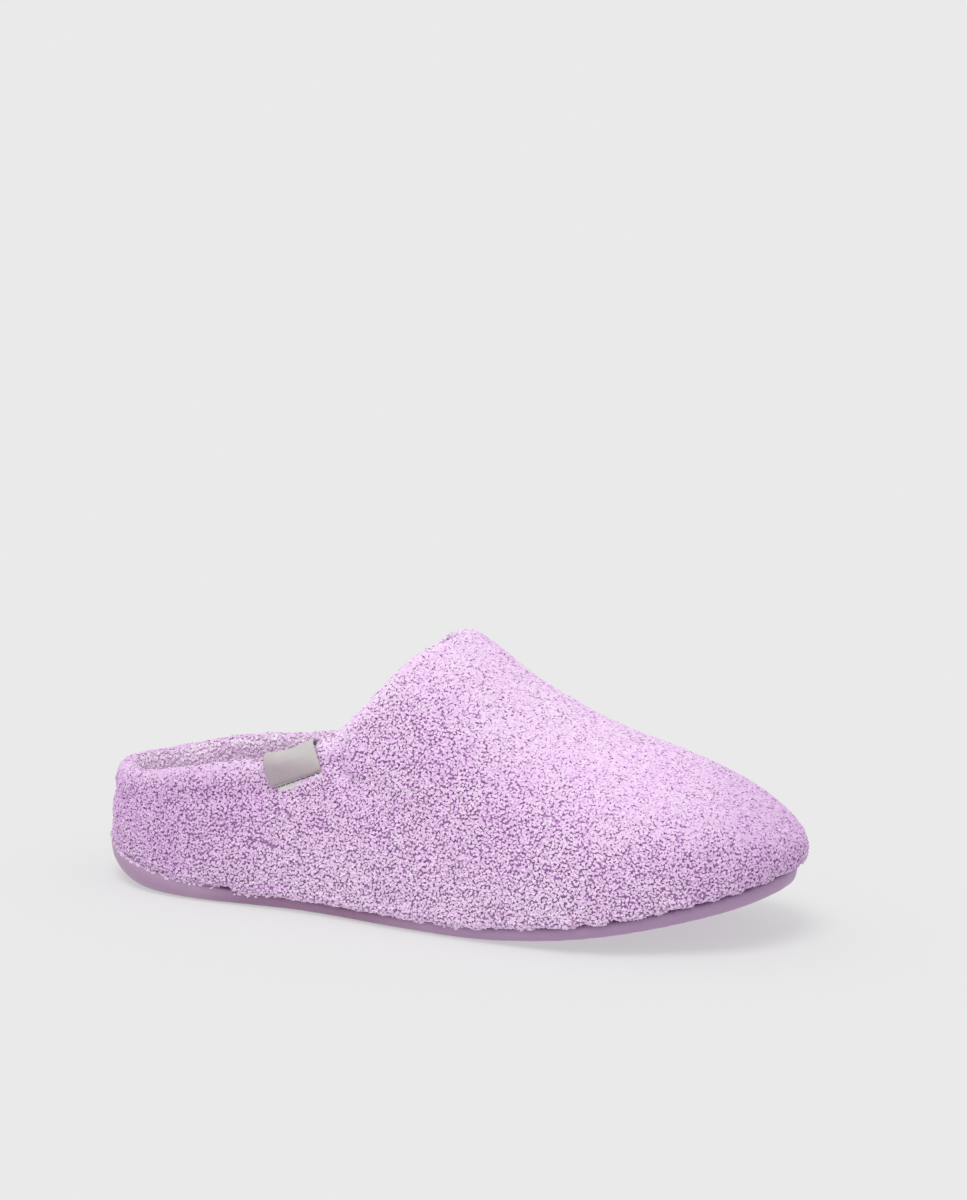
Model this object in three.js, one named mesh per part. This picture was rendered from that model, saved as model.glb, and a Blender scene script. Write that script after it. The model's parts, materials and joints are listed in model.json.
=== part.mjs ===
// A scuff slipper for the right foot: a towelling upper with a low back, on a moulded sole.
// Sizes are in millimetres. The origin is on the floor under the middle of the heel seat,
// +X runs to the toe, +Y to the inner side of the foot and +Z up.

import * as THREE from "three";
import { mergeVertices } from "three/addons/utils/BufferGeometryUtils.js";

// The last, measured over the pile of the towelling.
const length = 258; // back of the heel to the tip of the toe
const heelSetback = 37; // back of the heel to the origin
const toeReach = 54; // middle of the toe box to the tip of the toe
const ballWidth = 104;
const instepHeight = 103; // floor to the top of the vamp where the throat ends
const throatLength = 132; // back of the heel to the peak of the throat
const collarHeight = 40.5; // floor to the collar at the back of the heel, under its rolled edge
const toeSpring = 20.9; // floor to the sole's underside at the tip of the toe
const springStart = 142; // back of the heel to where the sole starts to lift
const springCurve = 1.6; // power of the lift from there to the tip

// The upper's wall: towelling outside and inside with a thin foam between them.
const wall = 4;
const rimWall = 7.5; // across the padded edge of the collar
const rimDepth = 16; // how far the padding runs down from the collar
const tuck = 1.2; // how far the wall turns in where it meets the sole
const tuckHeight = 9;

// The outsole.
const overhang = 2.6; // how far the upper's lower edge stands out past the sole at the sides
const soleBase = 5.5; // under the foot
const heelLip = 17.2; // height of the sole's side at the back of the heel
const heelRound = 14; // radius of the sole's lower edge at the back of the heel
const lipBlend = 15; // width over which the side's height runs down to the base
const edgeBreak = 0.8; // small bevel on the side's upper edge

// The insole, a padded footbed.
const footbedHeel = 15; // thickness under the heel
const cupRise = 3; // how far its edge rises round the heel
const cupWidth = 16;
const archRise = 5; // how far its inner side rises under the arch
const insoleRound = 3; // radius of its upper edge
const insoleGap = 0.6; // to the upper's wall

// The label folded over the collar on the outer side, and the strip under it.
const labelPlace = 76.5; // back of the heel to the label's middle
const labelWidth = 21;
const labelThickness = 1.1;
const labelDrop = 6.9; // outside, down from the collar
const labelInside = 9; // inside, down from the collar
const labelSlant = 9; // degrees that its lower end leans to the toe
const labelSink = 1.6; // how far it presses the padding in, on either side
const sinkShift = 3.5; // the middle of that place lies this far nearer the toe than the label's
const sinkEdge = 4; // width over which the padding rises again round it
const stripWidth = 19.8;
const stripThickness = 0.6;
const stripDrop = 9.8;
const stripShift = 1.1; // the strip lies this far nearer the toe
const stripGap = 0.5; // between the strip and the wall

const clear = 0.3; // between pieces that touch

// How finely the surfaces are cut.
const throatRibs = 18;
const vampRibs = 9;
const fanRibs = 16;
const heelRibs = 16;
const wallRows = 14;
const rimSteps = 5;
const crowding = 1.5; // ribs stand closer together towards the throat
const ribGap = 2.2; // the least between a rib of the throat's and one of the label's

// The plan of the upper. along is a share of the length from the back of the heel, and
// across a share of the ball width, with the outer side of the foot negative.
const OUTLINE = [
  { place: "back of the heel", along: 0.0, across: 0.0 },
  { place: "outer heel corner", along: 0.022, across: -0.165 },
  { place: "outer heel curve", along: 0.075, across: -0.285 },
  { place: "outer heel side", along: 0.16, across: -0.343 },
  { place: "outer waist", along: 0.32, across: -0.358 },
  { place: "outer midfoot", along: 0.47, across: -0.434 },
  { place: "outer ball", along: 0.61, across: -0.483 },
  { place: "little toe", along: 0.74, across: -0.491 },
  { place: "outer toe curve", along: 0.86, across: -0.395 },
  { place: "outer toe corner", along: 0.95, across: -0.242 },
  { place: "tip of the toe", along: 1.0, across: 0.04 },
  { place: "inner toe corner", along: 0.965, across: 0.29 },
  { place: "big toe", along: 0.87, across: 0.43 },
  { place: "inner ball", along: 0.72, across: 0.5 },
  { place: "inner midfoot", along: 0.57, across: 0.45 },
  { place: "inner waist", along: 0.42, across: 0.375 },
  { place: "inner arch", along: 0.29, across: 0.34 },
  { place: "inner heel side", along: 0.16, across: 0.325 },
  { place: "inner heel curve", along: 0.075, across: 0.275 },
  { place: "inner heel corner", along: 0.022, across: 0.165 },
];

// The sections. crown is the top of the last as a share of the instep height, fullness the
// power of the section's rounding, and ridge where the top lies, as a share of the ball width.
// Behind the throat the crown is the height that the side walls would close at.
const SECTIONS = [
  { along: 0.0, crown: 0.95, fullness: 2.0, ridge: 0.0 },
  { along: 0.14, crown: 0.98, fullness: 2.0, ridge: 0.0 },
  { along: 0.3, crown: 1.03, fullness: 2.05, ridge: 0.02 },
  { along: 0.42, crown: 1.035, fullness: 2.15, ridge: 0.04 },
  { along: 0.51, crown: 0.972, fullness: 2.18, ridge: 0.05 },
  { along: 0.6, crown: 0.822, fullness: 2.1, ridge: 0.05 },
  { along: 0.7, crown: 0.7, fullness: 2.05, ridge: 0.045 },
  { along: 0.8, crown: 0.62, fullness: 2.2, ridge: 0.04 },
  { along: 0.9, crown: 0.56, fullness: 2.3, ridge: 0.04 },
  { along: 1.0, crown: 0.51, fullness: 2.3, ridge: 0.04 },
];

// The collar's line. along is a share of the throat length, and each side's rise a share of
// the climb from the collar's height at the back to the peak of the throat.
const COLLAR = [
  { along: 0.0, outer: 0.0, inner: 0.0 },
  { along: 0.12, outer: 0.015, inner: 0.015 },
  { along: 0.3, outer: 0.1, inner: 0.1 },
  { along: 0.45, outer: 0.165, inner: 0.14 },
  { along: 0.6, outer: 0.25, inner: 0.2 },
  { along: 0.75, outer: 0.505, inner: 0.45 },
  { along: 0.9, outer: 0.9, inner: 0.895 },
  { along: 1.0, outer: 1.0, inner: 1.0 },
];

// The sole's side. lip is its height as a share of the heel's lip, round the radius of its
// lower edge as a share of the heel's, and overhang how much of the upper's overhang is there.
const SOLE_SIDE = [
  { along: 0.0, lip: 1.0, round: 1.0, overhang: -0.1 },
  { along: 0.03, lip: 0.78, round: 0.8, overhang: -0.05 },
  { along: 0.08, lip: 0.6, round: 0.5, overhang: 0.1 },
  { along: 0.15, lip: 0.43, round: 0.32, overhang: 0.45 },
  { along: 0.3, lip: 0.305, round: 0.28, overhang: 1.0 },
  { along: 0.6, lip: 0.32, round: 0.24, overhang: 1.0 },
  { along: 0.85, lip: 0.355, round: 0.26, overhang: 1.2 },
  { along: 1.0, lip: 0.42, round: 0.34, overhang: 1.75 },
];

// The footbed's thickness as a share of the heel's, and how much of the arch is there.
const FOOTBED = [
  { along: 0.0, thickness: 1.0, arch: 0.0 },
  { along: 0.15, thickness: 1.0, arch: 0.05 },
  { along: 0.3, thickness: 0.92, arch: 0.6 },
  { along: 0.42, thickness: 0.76, arch: 1.0 },
  { along: 0.56, thickness: 0.56, arch: 0.5 },
  { along: 0.7, thickness: 0.45, arch: 0.0 },
  { along: 1.0, thickness: 0.4, arch: 0.0 },
];

const throatX = throatLength - heelSetback;
const toeX = length - heelSetback - toeReach;
const labelX = labelPlace - heelSetback;
const sinkX = labelX + sinkShift;
const sinkReach = labelWidth / 2 + sinkShift; // from that place's middle to where it is shallower

// A column of a table at x, on a smooth curve through its rows.
function read(table, column, x, span = length) {
  const along = THREE.MathUtils.clamp((x + heelSetback) / span, 0, 1);
  let i = 0;
  while (i < table.length - 2 && along > table[i + 1].along) i++;
  const slope = (k) => {
    const before = table[Math.max(k - 1, 0)];
    const after = table[Math.min(k + 1, table.length - 1)];
    return (after[column] - before[column]) / (after.along - before.along);
  };
  const step = table[i + 1].along - table[i].along;
  const t = (along - table[i].along) / step;
  const rise = table[i + 1][column] - table[i][column];
  const start = slope(i) * step - rise;
  const end = slope(i + 1) * step - rise;
  return table[i][column] + rise * t + t * (1 - t) * (start * (1 - t) - end * t);
}

const ease = (t) => THREE.MathUtils.smoothstep(t, 0, 1);

const outline = new THREE.CatmullRomCurve3(
  OUTLINE.map((p) => new THREE.Vector3(p.along * length - heelSetback, p.across * ballWidth, 0)),
  true,
  "centripetal",
).getPoints(OUTLINE.length * 16);

// How far the outline lies from a point inside it, in a direction.
function reachOf(x, y, direction) {
  for (let i = 0; i + 1 < outline.length; i++) {
    const a = outline[i];
    const b = outline[i + 1];
    const edge = new THREE.Vector2(b.x - a.x, b.y - a.y);
    const turn = direction.x * edge.y - direction.y * edge.x;
    if (Math.abs(turn) < 1e-9) continue;
    const from = new THREE.Vector2(a.x - x, a.y - y);
    const reach = (from.x * edge.y - from.y * edge.x) / turn;
    const share = (from.x * direction.y - from.y * direction.x) / turn;
    if (reach > 0 && share >= 0 && share <= 1) return reach;
  }
  throw new Error("the outline is not around the spine");
}

// A rib is an upright half section of the slipper, from its spine out to the outline.
function makeRib(x, angle) {
  const y = read(SECTIONS, "ridge", x) * ballWidth;
  const direction = new THREE.Vector2(Math.cos(angle), Math.sin(angle));
  const reach = reachOf(x, y, direction);
  const edgeX = x + direction.x * reach;
  return { x, y, direction, reach, edgeX, inner: direction.y > 0 };
}

const OUTER_SIDE = -Math.PI / 2;
const INNER_SIDE = Math.PI / 2;

// A rib's point at a distance from the spine and a height over the floor.
function pointOn(rib, reach, z) {
  return new THREE.Vector3(rib.x + rib.direction.x * reach, rib.y + rib.direction.y * reach, z);
}

const springSpan = length - springStart;

// Height of the sole's underside over the floor.
function underside(x) {
  const share = Math.max(0, (x + heelSetback - springStart) / springSpan);
  return toeSpring * share ** springCurve;
}

const soleReach = (rib) => rib.reach - overhang * read(SOLE_SIDE, "overhang", rib.edgeX);
const insoleReach = (rib) => rib.reach - tuck - wall - insoleGap;
const lipOf = (rib) => heelLip * read(SOLE_SIDE, "lip", rib.edgeX);

// Height of the sole's upper face.
function soleTop(rib, reach) {
  const x = rib.x + rib.direction.x * reach;
  const edge = ease((reach - soleReach(rib) + lipBlend) / lipBlend);
  return underside(x) + soleBase + (lipOf(rib) - soleBase) * edge;
}

// Points over the sole's upper face along a rib, from its spine out to the insole's edge.
function bedRow(rib, rise) {
  const from = soleReach(rib) - lipBlend;
  const span = insoleReach(rib) - from;
  const rows = [0, from / 2];
  for (const share of [0, 0.3, 0.55, 0.8, 1]) rows.push(from + span * share);
  return rows.map((reach) => pointOn(rib, reach, soleTop(rib, reach) + rise));
}

const TOP = Math.PI / 2;
const peakHeight = instepHeight * read(SECTIONS, "crown", throatX);

// Height of the collar's edge on a rib.
function collarLevel(rib) {
  const rise = read(COLLAR, rib.inner ? "inner" : "outer", rib.edgeX, throatLength);
  return collarHeight + rise * (peakHeight - collarHeight);
}

// How far the label presses in the outer side at a rib.
function pressedIn(rib) {
  if (rib.inner) return 0;
  return labelSink * (1 - ease((Math.abs(rib.x - sinkX) - sinkReach) / sinkEdge));
}

// The wall's thickness on a rib, at a distance from the collar's edge.
function wallThickness(rib, away) {
  return wall + (rimWall - wall - 2 * pressedIn(rib)) * (1 - ease(away / rimDepth));
}

// A point of the upper's outer face. angle runs from 0 at the sole to a right angle at the top.
function upperPoint(rib, angle) {
  const fullness = 2 / read(SECTIONS, "fullness", rib.x);
  const reach = rib.reach * Math.max(0, Math.cos(angle)) ** fullness;
  const x = rib.x + rib.direction.x * reach;
  const foot = soleTop(rib, rib.reach) + clear;
  const crown = instepHeight * read(SECTIONS, "crown", x);
  const z = foot + (crown - foot) * Math.sin(angle) ** fullness;
  const turnedIn = tuck * (1 - ease((z - foot) / tuckHeight));
  const pressed = pressedIn(rib) * (1 - ease((collarLevel(rib) - z - stripDrop) / sinkEdge));
  return pointOn(rib, Math.max(0, reach - turnedIn - pressed), z);
}

// Where the collar crosses a rib, as the angle of its section. Past the throat it is the top.
function collarAngle(rib) {
  if (rib.x >= throatX) return TOP;
  const height = collarLevel(rib);
  let low = 0;
  let high = TOP;
  for (let step = 0; step < 40; step++) {
    const middle = (low + high) / 2;
    if (upperPoint(rib, middle).z < height) low = middle;
    else high = middle;
  }
  return low;
}

// The ribs in order round the slipper: the outer side, the toe, the inner side and the heel.
// Ribs stand where the padding starts to sink and to rise, and others keep off them.
const labelStations = [sinkReach, sinkReach + sinkEdge].flatMap((d) => [sinkX - d, sinkX + d]);
const throatStations = [0];
for (let i = 1; i < throatRibs; i++) {
  const x = throatX * (1 - (1 - i / throatRibs) ** crowding);
  if (labelStations.every((station) => Math.abs(station - x) > ribGap)) throatStations.push(x);
}
throatStations.push(...labelStations, throatX);
const vampStations = [];
for (let i = 1; i <= vampRibs; i++) {
  vampStations.push(throatX + ((toeX - throatX) * i) / vampRibs);
}
const stations = [...throatStations, ...vampStations].sort((a, b) => a - b);
const ribs = stations.map((x) => makeRib(x, OUTER_SIDE));
for (let i = 1; i < fanRibs; i++) ribs.push(makeRib(toeX, OUTER_SIDE + (Math.PI * i) / fanRibs));
ribs.push(...stations.toReversed().map((x) => makeRib(x, INNER_SIDE)));
for (let i = 1; i < heelRibs; i++) ribs.push(makeRib(0, INNER_SIDE + (Math.PI * i) / heelRibs));

// Turns a ring of ribs, each a list of points, into faces, each patch cut along its shorter
// diagonal. keep says which patches are made.
function ringFaces(grid, keep = () => true) {
  const rows = grid[0].length;
  const faces = [];
  for (let i = 0; i < grid.length; i++) {
    const next = (i + 1) % grid.length;
    for (let j = 0; j < rows - 1; j++) {
      if (!keep(i, next, j)) continue;
      const a = i * rows + j;
      const b = next * rows + j;
      const rising = grid[i][j].distanceTo(grid[next][j + 1]);
      const falling = grid[i][j + 1].distanceTo(grid[next][j]);
      if (rising < falling) faces.push(a, b, b + 1, a, b + 1, a + 1);
      else faces.push(a, b, a + 1, b, b + 1, a + 1);
    }
  }
  return faces;
}

// One closed geometry from points and faces, with shared points merged and no empty faces.
function closedBody(points, faces) {
  const loose = new THREE.BufferGeometry().setFromPoints(points).setIndex(faces);
  const merged = mergeVertices(loose, 1e-4);
  const kept = [];
  const index = merged.index.array;
  for (let i = 0; i < index.length; i += 3) {
    const [a, b, c] = index.slice(i, i + 3);
    if (a !== b && b !== c && c !== a) kept.push(a, b, c);
  }
  merged.setIndex(kept);
  merged.computeVertexNormals();
  return merged;
}

// The outward normal at each point of a ring of ribs.
function normalsOf(grid) {
  const rows = grid[0].length;
  const faces = ringFaces(grid);
  const loose = new THREE.BufferGeometry().setFromPoints(grid.flat()).setIndex(faces);
  const merged = mergeVertices(loose, 1e-4);
  merged.computeVertexNormals();
  const normals = merged.getAttribute("normal");
  const found = [];
  faces.forEach((point, i) => {
    found[point] = new THREE.Vector3().fromBufferAttribute(normals, merged.index.array[i]);
  });
  return grid.map((rib, i) => rib.map((_, j) => found[i * rows + j]));
}

// Points of the rolled edge between the wall's two faces, where out points away from the wall.
function rolledEdge(outer, inner, out) {
  const middle = outer.clone().add(inner).multiplyScalar(0.5);
  const half = outer.clone().sub(middle);
  const points = [];
  for (let step = 1; step < rimSteps; step++) {
    const angle = (Math.PI * step) / rimSteps;
    const rise = half.length() * Math.sin(angle);
    points.push(middle.clone().addScaledVector(half, Math.cos(angle)).addScaledVector(out, rise));
  }
  return points;
}

function makeUpper() {
  const hasRim = ribs.map((rib) => rib.x <= throatX);
  const outer = ribs.map((rib) => {
    const end = collarAngle(rib);
    const points = [];
    for (let j = 0; j <= wallRows; j++) points.push(upperPoint(rib, (end * j) / wallRows));
    return points;
  });
  const normals = normalsOf(outer);
  const rimRibs = ribs.map((_, i) => i).filter((i) => hasRim[i]);
  const rim = rimRibs.map((i) => outer[i][wallRows]);
  const inner = outer.map((points, i) =>
    points.map((point, j) => {
      if (j > 0) {
        const away = Math.min(...rim.map((edge) => edge.distanceTo(point)));
        return point.clone().addScaledVector(normals[i][j], -wallThickness(ribs[i], away));
      }
      const reach = ribs[i].reach - tuck - wall;
      return pointOn(ribs[i], reach, soleTop(ribs[i], reach) + clear);
    }),
  );
  // The collar's next point along from a place on it, past any that lies in the same spot.
  const beside = (place, step) => {
    let there = place;
    do there = (there + step + rim.length) % rim.length;
    while (rim[there].distanceTo(rim[place]) < 1e-6);
    return rim[there];
  };
  const sections = ribs.map((_, i) => {
    const top = outer[i][wallRows];
    let edge = Array(rimSteps - 1).fill(top);
    if (hasRim[i]) {
      const place = rimRibs.indexOf(i);
      const along = beside(place, 1).clone().sub(beside(place, -1));
      const out = along.cross(normals[i][wallRows]).normalize().negate();
      edge = rolledEdge(top, inner[i][wallRows], out);
    }
    return [...outer[i], ...edge, ...inner[i].toReversed(), outer[i][0]];
  });
  const isEdge = (j) => j >= wallRows && j < wallRows + rimSteps;
  const keep = (i, next, j) => !isEdge(j) || (hasRim[i] && hasRim[next]);
  return closedBody(sections.flat(), ringFaces(sections, keep));
}

function makeOutsole() {
  const roundSteps = 4;
  const sections = ribs.map((rib) => {
    const edge = soleReach(rib);
    const round = heelRound * read(SOLE_SIDE, "round", rib.edgeX);
    const at = (reach, z) => pointOn(rib, reach, z);
    const bottom = (reach) => at(reach, underside(rib.x + rib.direction.x * reach));
    const top = (reach) => at(reach, soleTop(rib, reach));
    const floorX = rib.x + rib.direction.x * (edge - round);
    const points = [bottom(0), bottom((edge - round) / 2), bottom(edge - round)];
    for (let step = 1; step <= roundSteps; step++) {
      const angle = (Math.PI / 2) * (step / roundSteps);
      const reach = edge - round + round * Math.sin(angle);
      points.push(at(reach, underside(floorX) + round * (1 - Math.cos(angle))));
    }
    points.push(at(edge, soleTop(rib, edge) - edgeBreak), top(edge - edgeBreak));
    return [...points, ...bedRow(rib, 0).toReversed()];
  });
  return closedBody(sections.flat(), ringFaces(sections));
}

// Height of the footbed's upper face.
function footbedTop(rib, reach, edge) {
  const x = rib.x + rib.direction.x * reach;
  const thick = footbedHeel * read(FOOTBED, "thickness", x);
  const cup = cupRise * ease((reach - edge + cupWidth) / cupWidth) * (1 - ease(x / throatX));
  const side = rib.inner ? rib.direction.y * ease(reach / edge) : 0;
  return underside(x) + soleBase + thick + cup + archRise * read(FOOTBED, "arch", x) * side;
}

function makeInsole() {
  const roundSteps = 3;
  const sections = ribs.map((rib) => {
    const edge = insoleReach(rib);
    const over = (reach) => pointOn(rib, reach, footbedTop(rib, reach, edge));
    const points = bedRow(rib, clear);
    const corner = over(edge).z - insoleRound;
    for (let step = 0; step <= roundSteps; step++) {
      const angle = (Math.PI / 2) * (step / roundSteps);
      const reach = edge - insoleRound * (1 - Math.cos(angle));
      points.push(pointOn(rib, reach, corner + insoleRound * Math.sin(angle)));
    }
    for (const share of [0.4, 1]) points.push(over(edge - insoleRound - cupWidth * share));
    points.push(over(edge / 3), over(0));
    return points;
  });
  return closedBody(sections.flat(), ringFaces(sections));
}

// The outer side's face at a station x and a height z.
function wallPoint(x, z) {
  const rib = makeRib(x, OUTER_SIDE);
  let low = 0;
  let high = TOP;
  for (let step = 0; step < 40; step++) {
    const middle = (low + high) / 2;
    if (upperPoint(rib, middle).z < z) low = middle;
    else high = middle;
  }
  return upperPoint(rib, low);
}

function wallNormal(x, z) {
  const step = 0.5;
  const along = wallPoint(x + step, z).sub(wallPoint(x - step, z));
  const rise = wallPoint(x, z + step).sub(wallPoint(x, z - step));
  return along.cross(rise).normalize();
}

// The collar's edge at a station x of the outer side.
function collarPoint(x) {
  const rib = makeRib(x, OUTER_SIDE);
  return upperPoint(rib, collarAngle(rib));
}

// A flat strip folded over the collar, lying off the wall by a gap, as one closed solid.
function foldedStrip(middleX, width, thickness, gap, drop, inside) {
  const columns = 6;
  const downSteps = 4;
  const start = collarPoint(middleX);
  const tilt = collarPoint(middleX + width / 2).sub(collarPoint(middleX - width / 2));
  const lean = new THREE.Vector2(Math.hypot(tilt.x, tilt.y), tilt.z).normalize();
  const slant = lean.clone().rotateAround(new THREE.Vector2(), THREE.MathUtils.degToRad(labelSlant));
  const sections = [];
  for (let column = 0; column < columns; column++) {
    const shift = (column / (columns - 1) - 0.5) * width;
    const top = collarPoint(middleX + shift * lean.x);
    const near = [];
    const far = [];
    const lay = (point, away) => {
      near.push(point.clone().addScaledVector(away, gap));
      far.push(point.clone().addScaledVector(away, gap + thickness));
    };
    // A spot down the wall, and the wall's thickness there.
    const spot = (share, down) => {
      const x = top.x + down * share * slant.y;
      const foot = start.z + shift * lean.y - down * slant.x;
      const z = THREE.MathUtils.lerp(top.z, foot, share);
      const point = wallPoint(x, z);
      const thick = wallThickness(makeRib(x, OUTER_SIDE), point.distanceTo(top));
      return { point, normal: wallNormal(x, z), thick };
    };
    for (let step = downSteps; step > 0; step--) {
      const { point, normal } = spot(step / downSteps, drop);
      lay(point, normal);
    }
    const edge = spot(0, drop);
    const half = edge.thick / 2;
    const middle = edge.point.clone().addScaledVector(edge.normal, -half);
    const ahead = collarPoint(top.x + 1).sub(collarPoint(top.x - 1));
    const out = edge.normal.clone().cross(ahead).normalize();
    for (let step = 0; step <= rimSteps; step++) {
      const angle = (Math.PI * step) / rimSteps;
      const away = edge.normal.clone().multiplyScalar(Math.cos(angle));
      away.addScaledVector(out, Math.sin(angle));
      lay(middle.clone().addScaledVector(away, half), away);
    }
    for (let step = 1; step <= downSteps; step++) {
      const { point, normal, thick } = spot(step / downSteps, inside);
      lay(point.addScaledVector(normal, -thick), normal.negate());
    }
    sections.push([...far, ...near.toReversed(), far[0]]);
  }
  const rows = sections[0].length;
  const faces = ringFaces(sections, (i, next) => next > i);
  const last = (columns - 1) * rows;
  for (let j = 0; j < (rows - 1) / 2 - 1; j++) {
    const k = rows - 2 - j;
    faces.push(j, j + 1, k - 1, j, k - 1, k);
    faces.push(last + j, last + k - 1, last + j + 1, last + j, last + k, last + k - 1);
  }
  return closedBody(sections.flat(), faces);
}

const towelling = new THREE.MeshStandardMaterial({ color: 0xd9b5e4, roughness: 0.95, metalness: 0 });
const footbed = new THREE.MeshStandardMaterial({ color: 0xd9a9e2, roughness: 0.95, metalness: 0 });
const rubber = new THREE.MeshStandardMaterial({ color: 0xa483bd, roughness: 0.55, metalness: 0 });
const labelHide = new THREE.MeshStandardMaterial({ color: 0xb4aeac, roughness: 0.6, metalness: 0 });
const labelTape = new THREE.MeshStandardMaterial({ color: 0xcfccc8, roughness: 0.7, metalness: 0 });

function named(name, geometry, material) {
  const mesh = new THREE.Mesh(geometry, material);
  mesh.name = name;
  return mesh;
}

const slipper = new THREE.Group();
slipper.name = "scuff_slipper";
slipper.add(named("upper", makeUpper(), towelling));
slipper.add(named("outsole", makeOutsole(), rubber));
slipper.add(named("insole", makeInsole(), footbed));

const labelGap = stripGap + stripThickness + clear;
slipper.add(
  named(
    "label_strip",
    foldedStrip(labelX + stripShift, stripWidth, stripThickness, stripGap, stripDrop, labelInside),
    labelTape,
  ),
);
slipper.add(
  named(
    "label",
    foldedStrip(labelX, labelWidth, labelThickness, labelGap, labelDrop, labelInside),
    labelHide,
  ),
);

export default slipper;
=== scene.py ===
# %% [markdown]
# # A towelling scuff slipper
# A house slipper has no hard edges: a moulded rubber sole, a padded footbed, and an upper cut
# from terry cloth, whose thousands of small yarn loops are what the eye sees first. The CAD
# model already holds the true form of each piece, so this script dresses it: it takes finer,
# softer copies of the cloth pieces, stands real loops on them, and gives every surface a finish.

# %% The frame, in metres
import json
import math
import random

import bmesh
import bpy
from mathutils import Matrix, Vector
from mathutils.bvhtree import BVHTree
from mathutils.geometry import intersect_point_line
from mathutils.kdtree import KDTree

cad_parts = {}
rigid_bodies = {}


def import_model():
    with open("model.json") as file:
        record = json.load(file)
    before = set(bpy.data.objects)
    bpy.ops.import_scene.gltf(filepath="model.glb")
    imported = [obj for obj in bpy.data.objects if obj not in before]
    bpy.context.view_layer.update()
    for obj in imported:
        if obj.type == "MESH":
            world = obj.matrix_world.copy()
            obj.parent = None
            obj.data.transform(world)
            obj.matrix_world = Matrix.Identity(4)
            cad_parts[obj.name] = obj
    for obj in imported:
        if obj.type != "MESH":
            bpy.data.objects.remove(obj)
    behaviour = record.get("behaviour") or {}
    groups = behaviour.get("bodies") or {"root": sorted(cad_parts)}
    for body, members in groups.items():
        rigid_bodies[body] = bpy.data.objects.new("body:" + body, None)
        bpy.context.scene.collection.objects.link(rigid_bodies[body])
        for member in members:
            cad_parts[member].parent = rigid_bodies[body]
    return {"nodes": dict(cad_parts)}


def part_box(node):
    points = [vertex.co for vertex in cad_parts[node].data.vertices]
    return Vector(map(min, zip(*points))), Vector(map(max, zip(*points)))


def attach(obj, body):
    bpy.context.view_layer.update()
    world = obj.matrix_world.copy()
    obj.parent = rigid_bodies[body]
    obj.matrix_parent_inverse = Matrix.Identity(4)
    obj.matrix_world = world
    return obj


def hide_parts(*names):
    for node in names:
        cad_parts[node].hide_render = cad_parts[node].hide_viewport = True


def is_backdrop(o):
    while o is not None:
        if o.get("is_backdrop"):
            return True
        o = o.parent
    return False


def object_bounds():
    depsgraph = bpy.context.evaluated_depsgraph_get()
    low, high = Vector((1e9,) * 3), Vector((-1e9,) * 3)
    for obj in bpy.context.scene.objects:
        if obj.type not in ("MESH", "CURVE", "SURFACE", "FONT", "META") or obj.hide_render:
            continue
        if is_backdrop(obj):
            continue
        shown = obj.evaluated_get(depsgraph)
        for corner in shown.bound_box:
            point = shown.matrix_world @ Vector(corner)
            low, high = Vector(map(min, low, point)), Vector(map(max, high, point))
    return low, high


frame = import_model()
cad_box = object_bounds()
mm = 0.001
scene = bpy.context.scene
print("CAD nodes:", sorted(frame["nodes"]))

# %% [markdown]
# ## The camera
# A product shot of a shoe is taken from some way off with a long lens, so that the toe does not
# swell. The camera is turned by an azimuth towards the toe, tipped down by an elevation and
# rolled a little, and then moved sideways in its own plane until one known point of the shoe
# falls where it should in the frame. That keeps the lens free of any shift.

# %% The camera
FRAME_WIDE, FRAME_HIGH = 967, 1200
FOCAL_PIXELS = 3618.5
SENSOR = 36
AZIMUTH, ELEVATION, ROLL = (math.radians(a) for a in (14.66, 10.26, 2.30))
DISTANCE = 1300 * mm
KNOWN_POINT = Vector((90, 0, 40)) * mm
KNOWN_PIXEL = (449.7, 795.1)

level = Vector((math.cos(AZIMUTH), math.sin(AZIMUTH), 0))
ahead = Vector(
    (
        -math.sin(AZIMUTH) * math.cos(ELEVATION),
        math.cos(AZIMUTH) * math.cos(ELEVATION),
        -math.sin(ELEVATION),
    )
)
upright = level.cross(ahead)
across = math.cos(ROLL) * level + math.sin(ROLL) * upright
upwards = -math.sin(ROLL) * level + math.cos(ROLL) * upright
offset_x = (KNOWN_PIXEL[0] - FRAME_WIDE / 2) / FOCAL_PIXELS * DISTANCE
offset_y = (FRAME_HIGH / 2 - KNOWN_PIXEL[1]) / FOCAL_PIXELS * DISTANCE
eye = KNOWN_POINT - DISTANCE * ahead - offset_x * across - offset_y * upwards

camera = bpy.data.objects.new("camera", bpy.data.cameras.new("camera"))
camera.data.sensor_width = SENSOR
camera.data.lens = FOCAL_PIXELS / max(FRAME_WIDE, FRAME_HIGH) * SENSOR
camera.data.clip_end = 100
camera.matrix_world = Matrix(
    [(across[i], upwards[i], -ahead[i], eye[i]) for i in range(3)] + [(0, 0, 0, 1)]
)
scene.collection.objects.link(camera)
scene.camera = camera
print("camera at", [round(c, 3) for c in eye], "lens", round(camera.data.lens, 1))

# %% [markdown]
# ## A socket that can do sums
# Materials and geometry nodes are both graphs, and a graph written link by link is hard to read.
# A `Wire` is one output socket: adding or multiplying it places a Math node, so a pattern can be
# written as the formula that it is. Every other node comes from `Bench.put`.


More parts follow.
